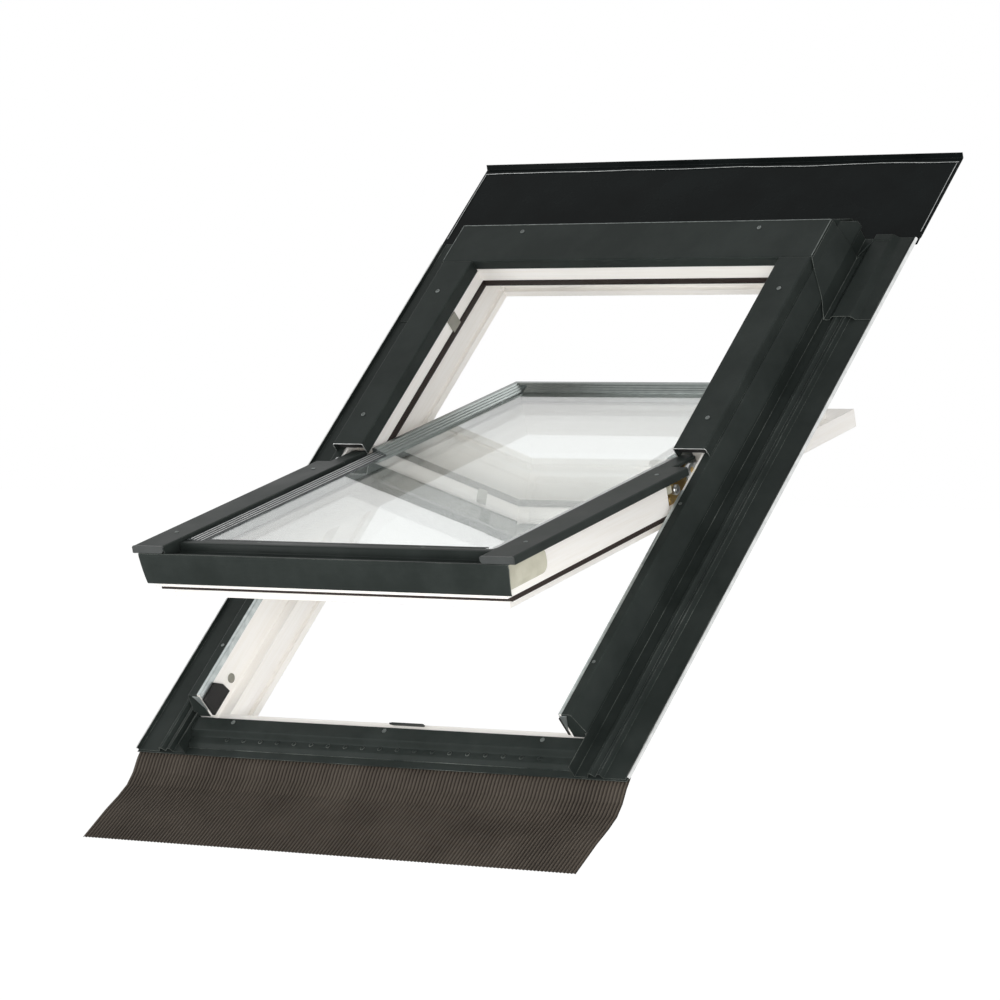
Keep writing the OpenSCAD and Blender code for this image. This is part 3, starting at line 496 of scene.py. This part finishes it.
# Each CAD disc gets a detailed head, sized from its radius and height
def headsFor(node, name, maker, material):
    groups = {}
    for low, high in looseParts(node, pitchTurn):
        size = (round((high.x - low.x) / 2, 5), round(high.z - low.z, 5))
        place = Matrix.Translation(((low.x + high.x) / 2, (low.y + high.y) / 2, low.z))
        groups.setdefault(size, []).append(place)
    piece = joined([standCopies(maker(radius, height), places)
                    for (radius, height), places in sorted(groups.items())])
    settle(piece, name, pitchTurn, material, "frame")
    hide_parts(node)


headsFor("cover_screws", "cover_screw_heads", crossScrew, fixing)
headsFor("flashing_rivets", "rivet_domes", domedRivet, cladding)


def screwsAt(name, screws, turn, body):
    places = [placeAt(x, y, screws["top"]) for x in screws["across"] for y in screws["up"]]
    head = crossScrew(screws["radius"] * mm, screws["height"] * mm)
    settle(standCopies(head, places), name, turn, fixing, body)


sashScrews = {"across": (-350, 350), "up": (-472, -100), "top": 85.5, "radius": 3.4, "height": 1.3}
trimScrews = {"across": (-164, 164), "up": (-492,), "top": 77.9, "radius": 3.0, "height": 1.2}
sillScrews = {"across": (-312, 0, 312), "up": (-557,), "top": 18.9, "radius": 4.0, "height": 1.2}
screwsAt("side_cover_screws", sashScrews, sashTurn, "sash")
screwsAt("trim_screws", trimScrews, sashTurn, "sash")
screwsAt("sill_screws", sillScrews, pitchTurn, "frame")
print("fasteners modelled")


# Bare edges and hems of the flashing, and pale lines that paint the highlights along folds

ripple = bpy.data.textures.new("hand_folded_ripple", "CLOUDS")
ripple.noise_scale = 0.16  # metres
strip = {"edge": 0.3, "smooth": 35}  # rounding as a share of the thickness


# Waves a thin model a little, as a hand-folded sheet does
def rippled(piece, direction, size):
    applied(piece, "DISPLACE", texture=ripple, texture_coords="LOCAL", direction=direction,
            strength=size * mm, mid_level=0.5)


# Strip of sheet bent along a path of x and z, running from low to high up the slope
def bentStrip(path, low, high, thick, cuts=0, waver=0):
    freeSelection()
    bpy.ops.mesh.primitive_plane_add(size=1, location=(0, 0, 0))
    sheet = bpy.context.object
    bpy.ops.object.mode_set(mode="EDIT")
    pick("VERT", lambda v: v.co.x > 0)
    bpy.ops.mesh.delete(type="VERT")  # one edge is left, at x = -0.5
    bpy.ops.mesh.select_all(action="SELECT")
    bpy.ops.transform.translate(value=(0.5, 0, 0))
    bpy.ops.transform.resize(value=(1, (high - low) * mm, 1), center_override=(0, 0, 0))
    bpy.ops.transform.translate(value=(path[0][0] * mm, (low + high) / 2 * mm, path[0][1] * mm))
    if cuts:
        bpy.ops.mesh.subdivide(number_cuts=cuts)
    bpy.ops.mesh.select_all(action="SELECT")
    for (x0, z0), (x1, z1) in zip(path, path[1:]):
        step = ((x1 - x0) * mm, 0, (z1 - z0) * mm)
        bpy.ops.mesh.extrude_region_move(TRANSFORM_OT_translate={"value": step})
    bakePlace()
    applied(sheet, "SOLIDIFY", thickness=thick * mm, offset=0)
    applied(sheet, "BEVEL", width=thick * strip["edge"] * mm, segments=2, limit_method="ANGLE")
    if waver:
        rippled(sheet, "Z", waver)
    smoothUnder(strip["smooth"])
    return sheet


# The strip on both sides, from a path drawn for the right
def stripPair(name, size, material):
    for hand, k in hands:
        path = [(k * x, z) for x, z in size["path"]]
        sheet = bentStrip(path, size["low"], size["high"], size["thick"], size["cuts"], size["waver"])
        settle(sheet, name + hand, pitchTurn, material, "frame")


dripEdge = {"path": [(493.6, 6.6), (496.1, 6.2), (497.0, 2.6)], "low": -612, "high": 586, "thick": 0.7,
            "cuts": 40, "waver": 0.8}
stripPair("bare_drip_edge_", dripEdge, bareAluminium)

coverEnd = {"path": [(318.6, 66), (318.6, 85.9), (320.1, 87.4), (379.5, 87.4), (381.2, 85.7), (381.9, 71.5)],
            "low": 11.6, "high": 12.6, "thick": 1.3, "cuts": 0, "waver": 0}
stripPair("bare_cover_end_", coverEnd, bareAluminium)

# Backing strip below the joint of head flashing and side flashing
backing = {"path": [(393, -0.9), (445.5, -1.1), (498, -0.9)], "low": 576, "high": 606, "thick": 0.8,
           "cuts": 0, "waver": 0}
stripPair("flashing_backing_", backing, flashingBlack)

crease = {"radius": 0.8, "sides": 8, "cuts": 50, "cap": 0.32, "smooth": 50}


# Pale line along x, wandering a little: a painted highlight along a fold
def creaseLine(half, wander):
    freeSelection()
    bpy.ops.mesh.primitive_cylinder_add(vertices=crease["sides"], radius=crease["radius"] * mm,
                                        depth=2 * half * mm, rotation=(0, math.pi / 2, 0))
    line = bpy.context.object
    bakePlace()
    bpy.ops.object.mode_set(mode="EDIT")
    pick("EDGE", lambda e: abs(e.verts[0].co.x - e.verts[1].co.x) > half * mm)
    bpy.ops.mesh.subdivide(number_cuts=crease["cuts"])
    pick("FACE", lambda f: abs(f.normal.x) > 0.9)
    bpy.ops.mesh.inset(thickness=crease["cap"] * mm)
    bakePlace()
    rippled(line, "Y", wander)
    smoothUnder(crease["smooth"])
    return line


# Painted highlight lines along the rear fold of a sheet and up its two side folds
def foldLines(rearName, sideName, fold, material):
    rear = placeAt(0, fold["rear"], fold["level"])
    settle(creaseLine(fold["half"], fold["wander"]), rearName, pitchTurn @ rear, material, "frame")
    middle = (fold["front"] + fold["rear"]) / 2
    for hand, k in hands:
        side = placeAt(k * fold["side"], middle, fold["level"]) @ quarterTurn
        settle(creaseLine(fold["sideHalf"], fold["sideWander"]), sideName + hand, pitchTurn @ side,
               material, "frame")


# Painted highlights along the folds of the head flashing and of the head cover
headFold = {"rear": 774, "front": 600, "level": 1.9, "half": 497, "wander": 9, "side": 494.5, "sideHalf": 83,
            "sideWander": 3}
coverFold = {"rear": 546.4, "front": 460, "level": 87.9, "half": 380, "wander": 0.5, "side": 381.6,
             "sideHalf": 43.2, "sideWander": 0.4}
foldLines("rear_fold_highlight", "side_fold_highlight_", headFold, creaseHighlight)
foldLines("cover_fold_highlight_rear", "cover_fold_highlight_", coverFold, foldHighlight)
print("hems and bare edges modelled")


# Pale lip along each jamb below the pivot, with its folded end

lip = {"path": [(361.2, 58.8), (361.2, 68.5), (362.0, 69.3), (367.5, 69.3)], "low": -544.6, "high": -63,
       "thick": 0.9, "cuts": 30, "waver": 0.3}
lipEnd = {"in": 362.4, "out": 377, "top": 67, "foot": 34, "front": -546.8, "thick": 0.6, "taper": 13.1,
          "edge": 0.25}
stripPair("jamb_lip_", lip, paleLip)
for hand, k in hands:
    back, front = (lipEnd["front"] + way * lipEnd["thick"] / 2 for way in (1, -1))
    flap = blockBetween((k * lipEnd["in"], front, lipEnd["foot"]), (k * lipEnd["out"], back, lipEnd["top"]))
    half = (lipEnd["foot"] + lipEnd["top"]) / 2
    pick("VERT", lambda v: v.co.z < half * mm and abs(v.co.x) > (lipEnd["in"] + 2) * mm)  # the outer foot
    bpy.ops.transform.translate(value=(-k * lipEnd["taper"] * mm, 0, 0))
    bakePlace()
    applied(flap, "BEVEL", width=lipEnd["edge"] * mm, segments=2, limit_method="ANGLE")
    settle(flap, "jamb_lip_end_" + hand, pitchTurn, paleLip, "frame")


# Channelled bottom trim: a lip on the glass, a riser and a sunk gutter behind the fascia

gutter = {"lip": [(-476.4, 74.8), (-477.4, 76.4), (-490.4, 77.8)], "lipHalf": 281,
          "bar": [(-490.2, 77.8), (-505, 79.2), (-508.2, 78.6), (-509.4, 76.4), (-509.9, 66), (-511.2, 64.4),
                  (-538, 63.4), (-545.6, 63.4), (-546.4, 65.5)], "barHalf": 315.4, "thick": 1.1}
glassLip = bentStrip(gutter["lip"], -gutter["lipHalf"], gutter["lipHalf"], gutter["thick"])
bar = bentStrip(gutter["bar"], -gutter["barHalf"], gutter["barHalf"], gutter["thick"])
bar = joined([bar, glassLip])
settle(bar, "gutter_trim", sashTurn @ quarterTurn, cladding, "sash")
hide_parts("bottom_trim")


# Painted highlights: bright strips along the step edges of the lower glazing beads

beadHighlight = {"first": (308, 80), "tread": 5.5, "rise": 1.33, "steps": 4, "low": -488, "high": 20, "half": 0.55,
            "thick": 0.3, "cuts": 12}
for hand, k in hands:
    lines = []
    for step in range(beadHighlight["steps"]):
        x = k * (beadHighlight["first"][0] - step * beadHighlight["tread"])
        z = beadHighlight["first"][1] - step * beadHighlight["rise"]
        half = beadHighlight["half"]
        path = [(x - half, z), (x - half, z + half), (x + half, z + half), (x + half, z)]
        lines.append(bentStrip(path, beadHighlight["low"], beadHighlight["high"], beadHighlight["thick"], beadHighlight["cuts"]))
    settle(joined(lines), "bead_edge_highlights_" + hand, sashTurn, bareAluminium, "sash")


# Gasket lip on the inner faces of the upper stops

sideSeal = {"path": [(323.6, 23.5), (322.8, 25.5), (322.8, 34), (323.5, 36)], "low": 43, "high": 461.1,
            "thick": 1.6, "cuts": 0, "waver": 0}
headSeal = {"path": [(461.6, 23.5), (460.8, 25.5), (460.8, 34), (461.5, 36)], "half": 323.1, "thick": 1.6}
stripPair("stop_seal_", sideSeal, brownSeal)
settle(bentStrip(headSeal["path"], -headSeal["half"], headSeal["half"], headSeal["thick"]), "stop_seal_head",
       pitchTurn @ quarterTurn, brownSeal, "frame")


# Painted shade: a dark rubber block closes the lower end of each upper cover, where the hollow inside lies in
# shade

coverShadePlug = {"in": 319.6, "out": 379.6, "low": 19.5, "high": 27, "foot": 70.6, "top": 86.4, "rim": 1.5,
             "proud": 0.8, "edge": 1.0, "smooth": 40}
for hand, k in hands:
    plug = blockBetween((k * coverShadePlug["in"], coverShadePlug["low"], coverShadePlug["foot"]),
                        (k * coverShadePlug["out"], coverShadePlug["high"], coverShadePlug["top"]))
    pick("FACE", lambda f: f.normal.y < -0.9)
    insetMove(coverShadePlug["rim"], (0, -coverShadePlug["proud"], 0))
    bakePlace()
    applied(plug, "BEVEL", width=coverShadePlug["edge"] * mm, segments=2, limit_method="ANGLE")
    smoothUnder(coverShadePlug["smooth"])
    settle(plug, "cover_shade_plug_" + hand, pitchTurn, blackSeal, "frame")


# Cream corner mouldings at the sash's lower corners: a rounded upper end, a sunk rim and a raised field

moulding = {"in": 352.1, "out": 355.4, "low": -541.8, "high": -432, "foot": 27, "top": 68, "round": 16,
            "rim": 2.4, "sunk": 0.9, "border": 7, "raised": 0.5, "edge": 0.5, "smooth": 35}
for hand, k in hands:
    corner = blockBetween((k * moulding["in"], moulding["low"], moulding["foot"]),
                          (k * moulding["out"], moulding["high"], moulding["top"]))
    pick("EDGE", lambda e: all(v.co.y > (moulding["high"] - 1) * mm for v in e.verts)
         and abs(e.verts[0].co.x - e.verts[1].co.x) > 1 * mm)
    bpy.ops.mesh.bevel(offset=moulding["round"] * mm, segments=7, affect="EDGES")
    pick("FACE", lambda f: f.normal.x * k > 0.9)
    insetMove(moulding["rim"], (-k * moulding["sunk"], 0, 0))
    insetMove(moulding["border"], (k * moulding["raised"], 0, 0))
    bakePlace()
    applied(corner, "BEVEL", width=moulding["edge"] * mm, segments=2, limit_method="ANGLE")
    smoothUnder(moulding["smooth"])
    settle(corner, "corner_moulding_" + hand, sashTurn, cream, "sash")
    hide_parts("corner_block_" + hand)
print("lips, trim, seals and mouldings modelled")


# Spring clip on the sill's inner stop, its two ends curled up and narrowed

clip = {"left": -1, "right": 61, "front": -534.1, "back": -532.9, "seat": 6.2, "top": 13.2,
        "curl": ((2.2, -0.6, 0.75), (2.2, -1.2, 1.5)), "narrow": 0.72, "edge": 0.35, "smooth": 40}
spring = blockBetween((clip["left"], clip["front"], clip["seat"]), (clip["right"], clip["back"], clip["top"]))
for hand, k in hands:
    pick("FACE", lambda f: f.normal.x * k > 0.9)
    for out, back, up in clip["curl"]:
        step = (k * out * mm, back * mm, up * mm)
        bpy.ops.mesh.extrude_region_move(TRANSFORM_OT_translate={"value": step})
        bpy.ops.transform.resize(value=(1, 1, clip["narrow"]))
bakePlace()
applied(spring, "BEVEL", width=clip["edge"] * mm, segments=2)
smoothUnder(clip["smooth"])
settle(spring, "sill_clip", pitchTurn, darkPlastic, "frame")


# Friction brake on each pivot plate: ringed barrel, hexagon bolt and pale guide pad

plateFace = 340.0
barrel = {"up": -46, "out": 45, "sides": 28, "radius": 9.0, "length": 9.5}
bolt = {"up": -63, "out": 31, "sides": 6, "radius": 6.0, "length": 4.5}
pad = {"low": -72.5, "high": -59.5, "foot": 43.5, "top": 56.5, "thick": 7, "rim": 2.2, "sunk": 1.2, "edge": 1.6,
       "smooth": 40}
# Shares of a stud's length and radius: straight part, insets with their lifts, nose
studShare = {"straight": 0.6, "steps": ((0.12, 0.0), (0.1, 0.25), (0.3, 0.0)), "nose": 0.15, "edge": 0.03,
             "smooth": 35}


# Round or six-sided stud on the plate, its end stepped in twice
def stud(size):
    freeSelection()
    radius, length = size["radius"] * mm, size["length"] * mm
    straight = studShare["straight"] * length
    bpy.ops.mesh.primitive_cylinder_add(vertices=size["sides"], radius=radius, depth=straight,
                                        location=(0, 0, straight / 2))
    piece = bpy.context.object
    bpy.ops.object.mode_set(mode="EDIT")
    pick("FACE", lambda f: f.normal.z > 0.9)
    for inset, lift in studShare["steps"]:
        bpy.ops.mesh.inset(thickness=radius * inset)
        if lift:
            bpy.ops.transform.translate(value=(0, 0, length * lift))
    nose = (0, 0, studShare["nose"] * length)
    bpy.ops.mesh.extrude_region_move(TRANSFORM_OT_translate={"value": nose})
    bakePlace()
    applied(piece, "BEVEL", width=studShare["edge"] * radius, segments=2, limit_method="ANGLE")
    smoothUnder(studShare["smooth"])
    return piece


for hand, k in hands:
    outward = Matrix.Rotation(math.radians(90 * k), 4, "Y")
    for name, size, material, slot in (("brake_barrel_", barrel, brightZinc, "bright_zinc"),
                                       ("brake_bolt_", bolt, yellowZinc, "yellow_zinc")):
        spot = placeAt(k * plateFace, size["up"], size["out"])
        settle(stud(size), name + hand, sashTurn @ spot @ outward, material, "sash")
    guide = blockBetween((k * plateFace, pad["low"], pad["foot"]),
                         (k * (plateFace + pad["thick"]), pad["high"], pad["top"]))
    pick("FACE", lambda f: f.normal.x * k > 0.9)
    insetMove(pad["rim"], (-k * pad["sunk"], 0, 0))
    bakePlace()
    applied(guide, "BEVEL", width=pad["edge"] * mm, segments=3, limit_method="ANGLE")
    smoothUnder(pad["smooth"])
    settle(guide, "brake_pad_" + hand, sashTurn, cream, "sash")
print("clip and brakes modelled")


# Stage, light and camera

stageSet = {"floor": -1.15, "size": 60.0, "pale": "F2F2F0", "rough": 0.9, "skyLow": 1.0, "skyHigh": 0.3,
            "glow": 1.13, "glowShare": 0.82}
lamps = {
    "key": {"at": (2.0, -2.9, -0.45), "aim": (0, -0.2, -0.2), "size": 1.6, "power": 58},
    "fill": {"at": (-3.4, -3.2, -0.5), "aim": (0, 0, 0), "size": 3.0, "power": 75},
    "back": {"at": (1.0, 4.0, 3.0), "aim": (0, 0.2, 0.2), "size": 2.5, "power": 50},
}
view = {"at": (4.867, -6.765, 0.232), "aim": (-0.039, -0.039, -0.0196), "lens": 180.0, "sensor": 36.0,
        "far": 200.0}
white = (1, 1, 1, 1)


def standAt(name, data, place, target):
    thing = bpy.data.objects.new(name, data)
    bpy.context.scene.collection.objects.link(thing)
    thing.location = place
    thing.rotation_euler = (Vector(target) - Vector(place)).to_track_quat("-Z", "Y").to_euler()
    return thing


# 1 for what the camera sees, also in gloss and through glass; 0 for the light on the object
def seenWhite(tree):
    path = addNode(tree, "ShaderNodeLightPath")
    seen = addNode(tree, "ShaderNodeMath", {0: path.outputs["Is Camera Ray"],
                                            1: path.outputs["Is Glossy Ray"]}, operation="MAXIMUM")
    both = addNode(tree, "ShaderNodeMath", {0: seen.outputs[0], 1: path.outputs["Is Transmission Ray"]},
                   operation="MAXIMUM")
    return both.outputs[0]


# Plain sky, brighter at the horizon than overhead
def setWorld():
    world = bpy.data.worlds.new("studio")
    bpy.context.scene.world = world
    world.use_nodes = True
    tree = world.node_tree
    way = addNode(tree, "ShaderNodeTexCoord")
    height = addNode(tree, "ShaderNodeSeparateXYZ", {"Vector": way.outputs["Generated"]})
    sky = addNode(tree, "ShaderNodeMapRange", {"Value": height.outputs["Z"], "From Min": 0.0, "From Max": 1.0,
                                               "To Min": stageSet["skyLow"], "To Max": stageSet["skyHigh"]})
    level = addNode(tree, "ShaderNodeMapRange", {"Value": seenWhite(tree), "To Min": sky.outputs[0],
                                                 "To Max": 1.0})
    setInputs(tree, tree.nodes["Background"], {"Color": white, "Strength": level.outputs[0]})


# Pale floor that keeps the object's shadow and fades to white
def layFloor():
    freeSelection()
    bpy.ops.mesh.primitive_plane_add(size=stageSet["size"], location=(0, 0, stageSet["floor"]))
    floor = bpy.context.object
    floor.name = "floor"
    material = bpy.data.materials.new("pale_floor")
    material.use_nodes = True
    tree = material.node_tree
    shader = tree.nodes["Principled BSDF"]
    setInputs(tree, shader, {"Base Color": linear(stageSet["pale"]), "Roughness": stageSet["rough"]})
    glow = addNode(tree, "ShaderNodeEmission", {"Color": white, "Strength": stageSet["glow"]})
    share = addNode(tree, "ShaderNodeMath", {0: seenWhite(tree), 1: stageSet["glowShare"]},
                    operation="MULTIPLY")
    mixed = addNode(tree, "ShaderNodeMixShader", {"Fac": share.outputs[0], 1: shader.outputs[0],
                                                  2: glow.outputs[0]})
    setInputs(tree, tree.nodes["Material Output"], {"Surface": mixed.outputs[0]})
    floor.data.materials.append(material)


def hangLamps():
    for name, lamp in lamps.items():
        data = bpy.data.lights.new(name, "AREA")
        data.shape = "DISK"
        data.size = lamp["size"]
        data.energy = lamp["power"]
        standAt(name, data, lamp["at"], lamp["aim"])


def setCamera():
    data = bpy.data.cameras.new("camera")
    data.lens = view["lens"]
    data.sensor_width = view["sensor"]
    data.clip_end = view["far"]
    bpy.context.scene.camera = standAt("camera", data, view["at"], view["aim"])


setWorld()
layFloor()
hangLamps()
setCamera()
bpy.context.scene.view_settings.view_transform = "Standard"
print("stage, light and camera set")
